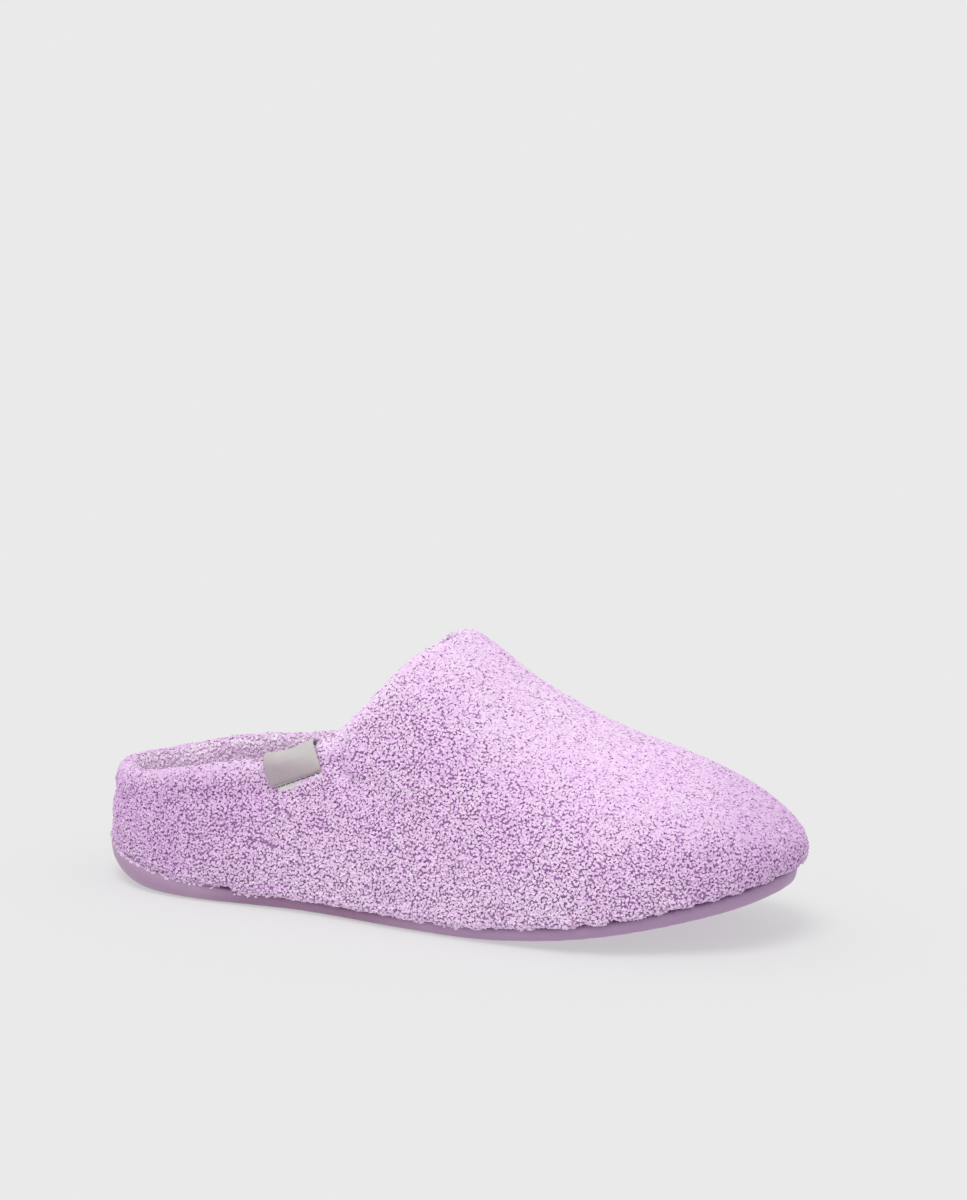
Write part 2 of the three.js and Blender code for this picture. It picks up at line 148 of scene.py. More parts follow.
# %% The bench and its wires
class Bench:
    """A node tree that nodes are put on."""

    def __init__(self, tree):
        self.tree = tree
        tree.nodes.clear()

    def put(self, kind, settings=None, inputs=None, out=0):
        """Adds a node, sets it, feeds its sockets with values or wires, and gives one output."""
        node = self.tree.nodes.new(kind)
        for name, value in (settings or {}).items():
            setattr(node, name, value)
        for key, value in (inputs or {}).items():
            if isinstance(value, Wire):
                self.tree.links.new(value.socket, node.inputs[key])
            else:
                node.inputs[key].default_value = value
        return Wire(self, node.outputs[out] if len(node.outputs) else None, node)

    def sum(self, operation, *values):
        """A Math node with one of its operations."""
        return self.put("ShaderNodeMath", {"operation": operation}, dict(enumerate(values)))


class Wire:
    """An output socket that can be added, subtracted and multiplied."""

    def __init__(self, bench, socket, node=None):
        self.bench = bench
        self.socket = socket
        self.node = node

    def other(self, name):
        """Another output of the same node."""
        return Wire(self.bench, self.node.outputs[name], self.node)

    def __add__(self, value):
        return self.bench.sum("ADD", self, value)

    __radd__ = __add__

    def __sub__(self, value):
        return self.bench.sum("SUBTRACT", self, value)

    def __rsub__(self, value):
        return self.bench.sum("SUBTRACT", value, self)

    def __mul__(self, value):
        return self.bench.sum("MULTIPLY", self, value)

    __rmul__ = __mul__

    def held(self, low=0, high=1, ease=True):
        """0 below low, 1 above high, and smooth or straight between."""
        settings = {"interpolation_type": "SMOOTHSTEP" if ease else "LINEAR"}
        inputs = {"Value": self, "From Min": low, "From Max": high}
        return self.bench.put("ShaderNodeMapRange", settings, inputs)


print("a wire can be added, subtracted, multiplied and held between two values")


# %% Nodes that many finishes share
def tint(bench, first, second, share):
    """A colour that goes from the first to the second as the share goes from 0 to 1."""
    inputs = {0: share, 6: first, 7: second}
    return bench.put("ShaderNodeMix", {"data_type": "RGBA"}, inputs, out=2)


def object_place(bench):
    return bench.put("ShaderNodeTexCoord", out="Object")


def noise(bench, place, scale, detail=2.0, roughness=0.5):
    settings = {"noise_dimensions": "3D"}
    inputs = {"Vector": place, "Scale": scale, "Detail": detail, "Roughness": roughness}
    return bench.put("ShaderNodeTexNoise", settings, inputs)


def bump(bench, height, strength, depth):
    """A normal that makes a pattern of heights look raised by up to a depth."""
    inputs = {"Strength": strength, "Distance": depth, "Height": height}
    return bench.put("ShaderNodeBump", {}, inputs, out="Normal")


def finish(name, look, rough, view_colour, **constants):
    """A material. A value is plain, or a function that draws it on the material's bench."""
    material = bpy.data.materials.new(name)
    material.use_nodes = True
    material.diffuse_color = view_colour
    bench = Bench(material.node_tree)
    sockets = {"Base Color": look, "Roughness": rough, **constants}
    for key, value in sockets.items():
        if callable(value):
            sockets[key] = value(bench)
    shader = bench.put("ShaderNodeBsdfPrincipled", {}, sockets, out="BSDF")
    bench.put("ShaderNodeOutputMaterial", {}, {"Surface": shader})
    return material


print("shared nodes: tint, noise and bump")

# %% [markdown]
# ## Floor and light
# The slipper stands in a white cove, lit from all round by bounced light, so shadows are faint.
# An even world does that, and a paper floor that glows a little stays pale without more light
# on the shoe. One soft lamp overhead, which leans to the camera's side, adds the direction
# that shows the form, and drops a shadow under the lifted toe.

# %% The floor, the world and the lamp
PAPER = (0.34, 0.34, 0.34, 1)
PAPER_GLOW = 0.459
WHITE = (1, 1, 1, 1)
COVE_STRENGTH = 0.68
FLOOR_HALF = 40  # metres, so that its edge lies far behind the shoe
LAMP_STRENGTH = 1.35
LAMP_SPREAD = math.radians(30)
LAMP_TILT = (math.radians(24), math.radians(-4), 0)

world = bpy.data.worlds.new("cove")
scene.world = world
world.use_nodes = True
world_bench = Bench(world.node_tree)
cove_light = world_bench.put(
    "ShaderNodeBackground", {}, {"Color": WHITE, "Strength": COVE_STRENGTH}
)
world_bench.put("ShaderNodeOutputWorld", {}, {"Surface": cove_light})

bm = bmesh.new()
bmesh.ops.create_grid(bm, x_segments=1, y_segments=1, size=FLOOR_HALF)
floor = bpy.data.objects.new("floor", bpy.data.meshes.new("floor"))
bm.to_mesh(floor.data)
bm.free()
floor.data.materials.append(
    finish(
        "lit_paper",
        PAPER,
        rough=0.9,
        view_colour=(0.8, 0.8, 0.8, 1),
        **{
            "Specular IOR Level": 0.0,
            "Emission Color": WHITE,
            "Emission Strength": PAPER_GLOW,
        },
    )
)
scene.collection.objects.link(floor)
floor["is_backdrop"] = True

lamp = bpy.data.objects.new("lamp", bpy.data.lights.new("lamp", "SUN"))
lamp.data.energy = LAMP_STRENGTH
lamp.data.angle = LAMP_SPREAD
lamp.rotation_euler = LAMP_TILT
scene.collection.objects.link(lamp)
scene.view_settings.view_transform = "Standard"
print("floor, world and lamp are set")

# %% [markdown]
# ## The finishes
# Terry yarn is matt cotton with a fine fuzz. Its colour has painted shade down between the
# loops, deep and saturated, and stays pale at their tops, where the light reaches. Each loop
# carries two numbers, `shade` and `tip`, and the colour is read from them, so that the pattern
# stays with the yarn. The lining's yarn is paler, with painted bounce light, because light
# bounces about inside the shoe. A photograph of yarn could colour the loops too, but it would
# have to be unwrapped onto thousands of them.

# %% The yarn
# The first colour is painted shade, for the feet of the loops down between them.
YARN_PAINTED_SHADE = (0.52, 0.24, 0.58, 1)
YARN_ROSE = (0.88, 0.61, 0.91, 1)
YARN_PALE = (0.97, 0.84, 0.98, 1)
# The lining's colours are the yarn's with painted bounce light. The first is painted shade at
# the feet of its loops and in the gaps of its cloth.
LINING_PAINTED_SHADE = (0.95, 0.73, 0.96, 1)
LINING_ROSE = (0.98, 0.83, 0.98, 1)
LINING_PALE = (0.99, 0.89, 0.99, 1)


def yarn_colour(painted_shade, rose, pale):
    """Painted shade at a loop's feet, and from rose to pale at its tip."""

    def colour(bench):
        shade = bench.put("ShaderNodeAttribute", {"attribute_name": "shade"}, out="Fac")
        tip = bench.put("ShaderNodeAttribute", {"attribute_name": "tip"}, out="Fac")
        return tint(bench, painted_shade, tint(bench, rose, pale, shade), tip)

    return colour


def fibre_bump(bench):
    grain = noise(bench, object_place(bench), scale=2600, detail=3.0, roughness=0.6)
    return bump(bench, grain, strength=0.5, depth=0.15 * mm)


def yarn(name, painted_shade, rose, pale):
    return finish(
        name,
        yarn_colour(painted_shade, rose, pale),
        rough=0.92,
        view_colour=(0.85, 0.71, 0.89, 1),
        Normal=fibre_bump,
        **{
            "Specular IOR Level": 0.2,
            "Sheen Weight": 0.25,
            "Sheen Roughness": 0.5,
            "Sheen Tint": (1, 0.92, 1, 1),
        },
    )


towelling = yarn("towelling_yarn", YARN_PAINTED_SHADE, YARN_ROSE, YARN_PALE)
lining = yarn("lining_yarn", LINING_PAINTED_SHADE, LINING_ROSE, LINING_PALE)
print("yarns:", towelling.name, lining.name)

# %% The cloth beneath the loops
# The first colour is painted shade, in the gaps between the loops.
CLOTH_PAINTED_SHADE = (0.56, 0.29, 0.61, 1)
CLOTH_TOP = (0.80, 0.54, 0.83, 1)
CELL_BEND = 1.2 * mm
CELL_EDGE = (0.15, 0.75)


def loop_field(bench):
    """Rounded cells the size of a loop: 1 on a loop, 0 in the gaps."""
    place = object_place(bench)
    inputs = {"Vector": place, "Scale": 500, "Detail": 1.0}
    jitter = bench.put("ShaderNodeTexNoise", {}, inputs, out="Color")
    inputs = {0: jitter, 1: (CELL_BEND, CELL_BEND, CELL_BEND), 2: place}
    bent = bench.put("ShaderNodeVectorMath", {"operation": "MULTIPLY_ADD"}, inputs)
    cells = bench.put("ShaderNodeTexVoronoi", {"feature": "F1"}, {"Vector": bent, "Scale": 620})
    return 1 - cells.held(*CELL_EDGE)


# Cloth with painted shade in the gaps between loop cells, and its own colour on the loops.
def ground_cloth(name, painted_shade, top):
    return finish(
        name,
        lambda bench: tint(bench, painted_shade, top, loop_field(bench)),
        rough=0.95,
        view_colour=(0.6, 0.4, 0.66, 1),
        Normal=lambda bench: bump(bench, loop_field(bench), strength=1.0, depth=0.8 * mm),
        **{"Specular IOR Level": 0.15, "Sheen Weight": 0.3},
    )


cloth = ground_cloth("towelling_cloth", CLOTH_PAINTED_SHADE, CLOTH_TOP)
lining_cloth = ground_cloth("lining_cloth", LINING_PAINTED_SHADE, LINING_ROSE)
print("cloths:", cloth.name, lining_cloth.name)

# %% [markdown]
# ## Rubber, tape and thread
# The sole's foam rubber is satin and nearly smooth, with faint clouds and specks. It has
# painted shade along the waist, where the shoe curves in. The label is a close woven tape with
# ribs along it, and the threads are dark and pale twists.

# %% Rubber
RUBBER_HEEL = (0.44, 0.275, 0.43, 1)
# Painted shade along the waist, where the shoe curves in.
RUBBER_WAIST_SHADE = (0.325, 0.170, 0.305, 1)
RUBBER_TOE = (0.43, 0.265, 0.455, 1)
RUBBER_WORN = (0.47, 0.32, 0.47, 1)
WAIST_SHADE_STARTS = (5 * mm, 25 * mm)
WAIST_SHADE_ENDS = (60 * mm, 100 * mm)
FRONT_STARTS = (80 * mm, 130 * mm)
CLOUD_EDGE = (0.35, 0.7)
SPECK_EDGE = (0.62, 0.72)
WEAR_SHARE = 0.2
SATIN = 0.34  # the least roughness, and how much clouds add to it
SATIN_SPREAD = 0.14
SWELL_SHARE = 2.0  # of slow swells in the bump, to one of fine grain


def rubber_colour(bench):
    """Painted shade along the waist, with faint clouds and specks of wear."""
    place = object_place(bench)
    cloud = noise(bench, place, scale=60, detail=4.0, roughness=0.6).held(*CLOUD_EDGE)
    speck = noise(bench, place, scale=900).held(*SPECK_EDGE)
    along = bench.put("ShaderNodeSeparateXYZ", {}, {"Vector": place}, out="X")
    # The waist's share places the painted shade.
    waist = along.held(*WAIST_SHADE_STARTS) * (1 - along.held(*WAIST_SHADE_ENDS))
    main = tint(bench, RUBBER_HEEL, RUBBER_WAIST_SHADE, waist)
    main = tint(bench, main, RUBBER_TOE, along.held(*FRONT_STARTS))
    return tint(bench, main, RUBBER_WORN, WEAR_SHARE * cloud + WEAR_SHARE * speck)


def rubber_roughness(bench):
    return SATIN + SATIN_SPREAD * noise(bench, object_place(bench), scale=140, detail=3.0)


def rubber_bump(bench):
    place = object_place(bench)
    grain = noise(bench, place, scale=1500, detail=3.0, roughness=0.6)
    swell = noise(bench, place, scale=90)
    return bump(bench, grain + SWELL_SHARE * swell, strength=0.25, depth=0.25 * mm)


rubber = finish(
    "sole_rubber",
    rubber_colour,
    rubber_roughness,
    view_colour=(0.64, 0.53, 0.74, 1),
    Normal=rubber_bump,
    **{"Specular IOR Level": 0.45, "Coat Roughness": 0.4, "Coat Weight": 0.1},
)
print("rubber:", rubber.name)

# %% Label tape
TAPE_CLIMB = (52 * mm, 60 * mm)  # heights between which its lower end turns into its fold
CLIMB_WAVER = 3 * mm
RIB_SHARE = 0.6
WEFT_SHARE = 0.4
WEAVE_CONTRAST = 0.55
TAPE_CLOUDS = 0.6
TAPE_START = -0.1


def woven_bands(bench, place, direction, scale):
    settings = {"wave_type": "BANDS", "bands_direction": direction}
    inputs = {"Vector": place, "Scale": scale, "Distortion": 0.6, "Detail": 1.0}
    return bench.put("ShaderNodeTexWave", settings, inputs, out="Fac")


def tape_weave(bench):
    """Fine ribs along the tape, crossed by its weft."""
    place = object_place(bench)
    ribs = woven_bands(bench, place, "X", scale=420)
    weft = woven_bands(bench, place, "Z", scale=520)
    return ribs * RIB_SHARE + weft * WEFT_SHARE


def tape_colour(bench, low, high):
    """The weave's dark and light yarns, which differ from the tape's lower end to its fold."""
    place = object_place(bench)
    clouds = TAPE_CLOUDS * noise(bench, place, scale=160)
    weave = WEAVE_CONTRAST * tape_weave(bench) + clouds + TAPE_START
    up = bench.put("ShaderNodeSeparateXYZ", {}, {"Vector": place}, out="Z")
    climb = (up + CLIMB_WAVER * noise(bench, place, scale=120)).held(*TAPE_CLIMB)
    return tint(bench, tint(bench, *low, weave), tint(bench, *high, weave), climb)


def tape_finish(name, low, high, view_colour):
    return finish(
        name,
        lambda bench: tape_colour(bench, low, high),
        rough=0.62,
        view_colour=view_colour,
        Normal=lambda bench: bump(bench, tape_weave(bench), strength=0.35, depth=0.1 * mm),
        **{"Specular IOR Level": 0.35, "Sheen Weight": 0.15},
    )


# The fold's colours are greyer and lighter. The grey is the tape's own, and the lightness is
# partly a painted highlight where the fold meets the light from above.
label_tape = tape_finish(
    "label_tape",
    low=((0.36, 0.29, 0.33, 1), (0.50, 0.415, 0.45, 1)),
    high=((0.50, 0.47, 0.47, 1), (0.66, 0.63, 0.62, 1)),
    view_colour=(0.7, 0.69, 0.68, 1),
)
strip_tape = tape_finish(
    "strip_tape",
    low=((0.64, 0.59, 0.62, 1), (0.78, 0.73, 0.76, 1)),
    high=((0.52, 0.50, 0.49, 1), (0.66, 0.64, 0.62, 1)),
    view_colour=(0.8, 0.79, 0.78, 1),
)
print("tapes:", label_tape.name, strip_tape.name)


# %% Thread
def thread_finish(name, dark, light, view_colour):
    return finish(
        name,
        lambda bench: tint(bench, dark, light, noise(bench, object_place(bench), scale=2500)),
        rough=0.7,
        view_colour=view_colour,
    )


thread = thread_finish(
    "thread", (0.72, 0.70, 0.70, 1), (0.86, 0.85, 0.85, 1), (0.9, 0.9, 0.9, 1)
)
# A dark thread that is partly a stitched seam and partly painted shadow under the label's edge.
dark_thread_and_shadow = thread_finish(
    "dark_thread_and_shadow", (0.07, 0.05, 0.07, 1), (0.14, 0.11, 0.14, 1), (0.35, 0.3, 0.35, 1)
)
print("materials:", len(bpy.data.materials))

# %% [markdown]
# ## Soft copies of the cloth pieces
# The CAD solids are faceted, and cloth is not. A voxel remesh lays an even skin of small squares
# over a solid, and a few rounds of smoothing take out its steps. The skin is then drawn in by
# part of the pile's height, so that the loops end where the solid's surface is. Cloth
# simulation could swell the pads too, but this thin shell would swell off the sole.

# %% From a solid to an even skin
WELD = 0.001 * mm
SMOOTHING = 0.5


def merged_copy(node, name):
    """A copy of a CAD node's mesh with its loose triangles joined."""
    copy = bpy.data.objects.new(name, frame["nodes"][node].data.copy())
    copy.data.materials.clear()
    scene.collection.objects.link(copy)
    bm = bmesh.new()
    bm.from_mesh(copy.data)
    bmesh.ops.remove_doubles(bm, verts=bm.verts, dist=WELD)
    bm.to_mesh(copy.data)
    bm.free()
    return copy


def apply_modifiers(piece):
    """Puts the modifiers' result in the piece's own mesh."""
    made = bpy.data.meshes.new_from_object(
        piece.evaluated_get(bpy.context.evaluated_depsgraph_get())
    )
    piece.modifiers.clear()
    piece.data = made
    return piece


def even_skin(node, name, square, rounds, drawn_in):
    """The node as a smooth skin of small squares, drawn in from the solid's surface."""
    skin = merged_copy(node, name)
    remesh = skin.modifiers.new("remesh", "REMESH")
    remesh.mode = "VOXEL"
    remesh.voxel_size = square
    apply_modifiers(skin)
    bm = bmesh.new()
    bm.from_mesh(skin.data)
    for _ in range(rounds):
        bmesh.ops.smooth_vert(
            bm,
            verts=bm.verts,
            factor=SMOOTHING,
            use_axis_x=True,
            use_axis_y=True,
            use_axis_z=True,
        )
    bm.normal_update()
    moves = [v.normal * -drawn_in for v in bm.verts]
    for vert, move in zip(bm.verts, moves):
        vert.co += move
    for face in bm.faces:
        face.smooth = True
    bm.to_mesh(skin.data)
    bm.free()
    print(name, len(skin.data.polygons), "squares")
    return skin


# %% The upper's cloth and the footbed
PILE_DEPTH = 0.8 * mm
upper_cloth = even_skin(
    "upper", "upper_cloth", square=2.1 * mm, rounds=4, drawn_in=PILE_DEPTH
)
upper_cloth.data.materials.append(cloth)
upper_cloth.data.materials.append(lining_cloth)
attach(upper_cloth, "root")
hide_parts("upper")

footbed_pad = even_skin(
    "insole", "footbed_pad", square=2.2 * mm, rounds=4, drawn_in=PILE_DEPTH
)
footbed_pad.data.materials.append(lining_cloth)
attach(footbed_pad, "root")
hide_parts("insole")
print("padded pieces:", upper_cloth.name, footbed_pad.name)

# %% [markdown]
# ## Inside and outside, and the line of the rim
# Creases and pile differ on the two sides of the cloth. A face is on the outside if it looks
# away from the axis of the foot, and the rim is where such a face meets one that doesn't.

# %% Telling the outside from the lining
AXIS_END = 170 * mm
AXIS_HEIGHT = 20 * mm
RIM_LOWEST = 36 * mm


def faces_out(place, normal):
    """True on the outside of the upper, where the cloth faces away from the foot."""
    axis = Vector((min(max(place.x, 0), AXIS_END), 0, AXIS_HEIGHT))
    return (place - axis).dot(normal) > 0


def edges_object(name, edges):
    """An object of loose edges, each a pair of points, from which distances can be taken."""
    lines = bpy.data.objects.new(name, bpy.data.meshes.new(name))
    bm = bmesh.new()
    for ends in edges:
        bm.edges.new([bm.verts.new(end) for end in ends])
    bm.to_mesh(lines.data)
    bm.free()
    scene.collection.objects.link(lines)
    return lines


def rim_edges(skin):
    """The edges of a skin along which the outside turns over into the lining."""
    bm = bmesh.new()
    bm.from_mesh(skin.data)
    bm.normal_update()
    found = []
    for edge in bm.edges:
        sides = {faces_out(f.calc_center_median(), f.normal) for f in edge.link_faces}
        if len(sides) == 2 and edge.verts[0].co.z > RIM_LOWEST:
            found.append([v.co.copy() for v in edge.verts])
    bm.free()
    return found


rim_line = edges_object("rim_line", rim_edges(upper_cloth))
for face in upper_cloth.data.polygons:
    face.material_index = 0 if faces_out(face.center, face.normal) else 1
print("edges along the rim:", len(rim_line.data.edges))

# %% [markdown]
# ## Creases
# Padded towelling never lies quite even. It dips where the label pinches it, tucks in below the
# roll of the collar, and keeps a soft fold where the foot leaves the throat. Each crease is a
# route over one side of the shoe, given as shares of its length and height, with a reach and a
# depth. A depth below nothing is a ridge.

# %% Creases
corners = [Vector(c) for node in ("upper", "outsole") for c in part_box(node)]
slipper_low = Vector([min(c[axis] for c in corners) for axis in range(3)])
slipper_high = Vector([max(c[axis] for c in corners) for axis in range(3)])
LENGTH = slipper_high.x - slipper_low.x
HEIGHT = slipper_high.z - slipper_low.z
OUTER = -1
INNER = 1
CREASES = (
    # name, outside or lining, side, reach in mm, depth in mm, route
    ("label pinch", True, OUTER, 4.2, 1.6, ((0.372, 0.56), (0.376, 0.53), (0.390, 0.50))),
    ("pad under the label", True, OUTER, 9.0, -0.9, ((0.30, 0.53), (0.335, 0.56))),
    ("pad behind the label", False, OUTER, 9.0, -0.9, ((0.30, 0.53), (0.335, 0.57))),
    ("fill by the label", True, OUTER, 3.5, -1.3, ((0.345, 0.60), (0.352, 0.56))),
    ("fill behind the label", False, OUTER, 3.5, -1.3, ((0.345, 0.60), (0.352, 0.57))),
    ("bulge by the label", True, OUTER, 6.0, -0.9, ((0.392, 0.59), (0.405, 0.55))),
    (
        "roll under the strip",
        True,
        OUTER,
        3.2,
        -1.5,
        ((0.284, 0.418), (0.345, 0.484), (0.358, 0.510)),
    ),
    (
        "throat fold",
        True,
        OUTER,
        9.0,
        0.9,
        ((0.388, 0.50), (0.437, 0.47), (0.50, 0.38), (0.54, 0.26), (0.557, 0.17)),
    ),
    (
        "collar tuck",
        True,
        OUTER,
        5.0,
        0.8,
        ((0.0, 0.31), (0.06, 0.33), (0.16, 0.37), (0.26, 0.42), (0.31, 0.45)),
    ),
    ("heel dent", True, OUTER, 8.0, 0.5, ((0.20, 0.24), (0.28, 0.24))),
    ("toe dent", True, OUTER, 12.0, 0.5, ((0.84, 0.24), (0.88, 0.27), (0.91, 0.32))),
    (
        "inner throat fold",
        True,
        INNER,
        9.0,
        0.9,
        ((0.37, 0.52), (0.42, 0.45), (0.48, 0.36), (0.52, 0.22)),
    ),
    (
        "inner collar tuck",
        True,
        INNER,
        5.0,
        0.8,
        ((0.0, 0.31), (0.06, 0.33), (0.16, 0.37), (0.26, 0.42), (0.34, 0.47)),
    ),
    ("inner heel dent", True, INNER, 8.0, 0.5, ((0.14, 0.2), (0.24, 0.26))),
    ("outer lining pad", False, OUTER, 9.0, -1.8, ((0.03, 0.32), (0.16, 0.34), (0.32, 0.38))),
    ("inner lining pad", False, INNER, 9.0, -1.8, ((0.03, 0.32), (0.16, 0.34), (0.32, 0.38))),
)
print("the dressed shoe will be about", round(LENGTH / mm), "mm long")

# %% Pressing the creases in
BLEND = 4 * mm  # across the middle of the shoe, where one side's creases fade out


def shoe_point(along, up):
    """A point in the shoe's side view, from shares of its length and height."""
    return Vector((slipper_low.x + along * LENGTH, 0, slipper_low.z + up * HEIGHT))


def nearest_on(place, start, end):
    """The point of a straight stretch that is nearest to a place."""
    touch, share = intersect_point_line(place, start, end)
    if share < 0:
        return start
    if share > 1:
        return end
    return touch


def away_from(place, route):
    """How far a place is from a route, seen from the side."""
    flat = Vector((place.x, 0, place.z))
    return min((flat - nearest_on(flat, *ends)).length for ends in zip(route, route[1:]))


def press_creases(skin):
    """Moves the skin's points in at the troughs and out at the ridges."""
    bm = bmesh.new()
    bm.from_mesh(skin.data)
    bm.normal_update()
    moves = [0.0] * len(bm.verts)
    for _, on_outside, side, reach, depth, shares in CREASES:
        route = [shoe_point(*share) for share in shares]
        for number, vert in enumerate(bm.verts):
            if faces_out(vert.co, vert.normal) != on_outside:
                continue
            beside = min(max(vert.co.y * side / BLEND + 0.5, 0), 1)
            near = 1 - (away_from(vert.co, route) / (reach * mm)) ** 2
            if near > 0:
                moves[number] -= beside * depth * mm * near**2
    for vert, move in zip(bm.verts, moves):
        vert.co += vert.normal * move
    bm.to_mesh(skin.data)
    bm.free()
    print("creases:", len(CREASES), "deepest", round(min(moves) / mm, 2), "mm")


press_creases(upper_cloth)

# %% [markdown]
# ## The sole
# The outsole is one moulding with crisp but not sharp edges. A fine voxel skin, smoothed a
# little, takes the facets out of its curves and rounds its edges as a mould does. Fine wavy
# grooves are then pressed up into the tread, and fade out before they reach the sides.

# %% The moulded sole
sole = even_skin("outsole", "sole_moulding", square=1.3 * mm, rounds=3, drawn_in=0)
sole.data.materials.append(rubber)
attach(sole, "root")
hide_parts("outsole")

# %% The tread
TREAD_DEPTH = 0.9 * mm
TREAD_PITCH = 7 * mm
TREAD_SWAY = 2.5 * mm
TREAD_SWAY_PITCH = 22 * mm
TREAD_FACES_DOWN = -0.75
TREAD_MARGIN = 7 * mm


def tree_of_points(places):
    """Points, ready to be asked for the one nearest to a place."""
    tree = KDTree(len(places))
    for number, place in enumerate(places):
        tree.insert(place, number)
    tree.balance()
    return tree


def tread_groove(place):
    """The depth of the groove at a place on the tread."""
    wave = place.x + TREAD_SWAY * math.cos(place.y * 2 * math.pi / TREAD_SWAY_PITCH)
    return TREAD_DEPTH * max(math.sin(wave * 2 * math.pi / TREAD_PITCH), 0) ** 2


bm = bmesh.new()
bm.from_mesh(sole.data)
bm.normal_update()
side_points = tree_of_points([v.co for v in bm.verts if v.normal.z > TREAD_FACES_DOWN])
for vert in bm.verts:
    if vert.normal.z < TREAD_FACES_DOWN:
        from_edge = min(side_points.find(vert.co)[2] / TREAD_MARGIN, 1)
        vert.co.z += tread_groove(vert.co) * from_edge**3
bm.to_mesh(sole.data)
bm.free()
print("grooves are", TREAD_DEPTH / mm, "mm deep")

# %% [markdown]
# ## The roll over the sole
# The towelling is drawn tight into the sole's seam, so the cloth just above swells out and rolls
# over the rubber's edge. Points of the outer cloth near the sole are pushed out a little, and
# those of its lower edge down, so that no light passes through the seam.

# %% Rolling the cloth over the sole's edge
ROLL_REACH = 6 * mm
ROLL_OUT = 1.25 * mm
ROLL_DOWN = 2 * mm
UNDERSIDE_FACING = -0.25


def tree_of(piece):
    """The piece's faces, ready to be asked for their nearest point or hit by a ray."""
    return BVHTree.FromPolygons(
        [v.co for v in piece.data.vertices], [p.vertices for p in piece.data.polygons]
    )


def roll_over(skin, edge_tree):
    """Moves the cloth beside the sole's edge out, and its underside down."""
    bm = bmesh.new()
    bm.from_mesh(skin.data)
    bm.normal_update()
    for vert in bm.verts:
        underside = vert.normal.z < UNDERSIDE_FACING
        if underside or faces_out(vert.co, vert.normal):
            near = 1 - (edge_tree.find_nearest(vert.co)[3] / ROLL_REACH) ** 2
            move = ROLL_DOWN if underside else ROLL_OUT
            vert.co += vert.normal * move * max(near, 0) ** 2
    bm.to_mesh(skin.data)
    bm.free()


roll_over(upper_cloth, tree_of(sole))
print("rolled out by up to", ROLL_OUT / mm, "mm")

# %% [markdown]
# ## The label
# A tape is folded over the collar's edge and sewn down on a paler strip. The label is thick
# enough for a voxel skin of small squares, which rounds its fold and its edges. The strip is
# too thin for that, so it is a bevelled copy of its solid, cut on a slant at the toe end, where
# it would show beside the label.

# %% The folded tape
label = even_skin("label", "label_fold", square=0.5 * mm, rounds=4, drawn_in=0)
label.data.materials.append(label_tape)
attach(label, "root")
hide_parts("label")

# %% The strip beneath it
STRIP_CUT_AT = Vector((53.3, 0, 50.4)) * mm
STRIP_CUT_FACING = (1, 0, 0.8)
strip = merged_copy("label_strip", "label_backing")
strip.data.materials.append(strip_tape)
bm = bmesh.new()
bm.from_mesh(strip.data)
cut = bmesh.ops.bisect_plane(
    bm,
    geom=[*bm.verts, *bm.edges, *bm.faces],
    dist=WELD,
    plane_co=STRIP_CUT_AT,
    plane_no=STRIP_CUT_FACING,
    clear_outer=True,
)
open_edges = [g for g in cut["geom_cut"] if isinstance(g, bmesh.types.BMEdge)]
bmesh.ops.holes_fill(bm, edges=open_edges, sides=0)
bm.to_mesh(strip.data)
bm.free()
bevel = strip.modifiers.new("bevel", "BEVEL")
bevel.width = 0.18 * mm
bevel.segments = 2
bevel.limit_method = "ANGLE"
bevel.angle_limit = math.radians(50)
apply_modifiers(strip)
for face in strip.data.polygons:
    face.use_smooth = True
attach(strip, "root")
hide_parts("label_strip")
print("strip", len(strip.data.polygons), "faces")

# %% [markdown]
# ## The stitches
# A dark thread runs along the label's lower edge, crossed by light ticks. It is partly a
# stitched seam and partly painted shadow under the label's edge. A bar of closer light stitches
# locks its heel end to the strip. A curve could run along the seam, but separate stitches read
# better up close. Each is a small rounded bead of thread, laid on the strip where a ray from
# outside meets it.

# %% Stitches on the strip
STITCH_RADIUS = 0.2 * mm
SEAM_START = (0.286, 0.447)  # shares of the shoe's length and height
SEAM_END = (0.348, 0.517)
SEAM_STITCHES = 22
SEAM_STITCH = 1.1 * mm
TICKS = 9
TICK_SHARES = (0.04, 0.97)  # of the seam, that the ticks run over
TICK_DROP = 0.001  # share of the shoe's height, below the seam
TICK_LEAN = Vector((0.35, 0, 1))
TICK_STITCH = 0.9 * mm
BAR_STITCHES = 5
BAR_SHARES = (0, 0.16)
BAR_DROP = 0.012
BAR_LEAN = Vector((0.4, 0, 1))
BAR_STITCH = 1.6 * mm


def outside_point(tree, side, along, up):
    """Where a ray from one side, at shares of the shoe's length and height, meets a surface."""
    start = shoe_point(along, up) + Vector((0, side * LENGTH, 0))
    return tree.ray_cast(start, Vector((0, -side, 0)))[:2]


def add_stitch(bm, place, normal, direction, length):
    """A bead of thread that lies on a surface along a direction."""
    forward = (direction - direction.dot(normal) * normal).normalized()
    turn = Matrix((forward, normal.cross(forward), normal)).transposed().to_4x4()
    size = Matrix.Diagonal((length / 2, STITCH_RADIUS, STITCH_RADIUS, 1))
    bmesh.ops.create_icosphere(
        bm, subdivisions=2, radius=1, matrix=Matrix.Translation(place) @ turn @ size
    )


def stitch_row(bm, count, shares, drop, direction, length):
    """Stitches at even steps between two shares of the seam, some way below it."""
    for number in range(count):
        share = shares[0] + (shares[1] - shares[0]) * number / (count - 1)
        along, up = (a + (b - a) * share for a, b in zip(SEAM_START, SEAM_END))
        place, normal = outside_point(strip_tree, OUTER, along, up - drop)
        if place:
            add_stitch(bm, place, normal, direction, length)
    for face in bm.faces:
        face.smooth = True


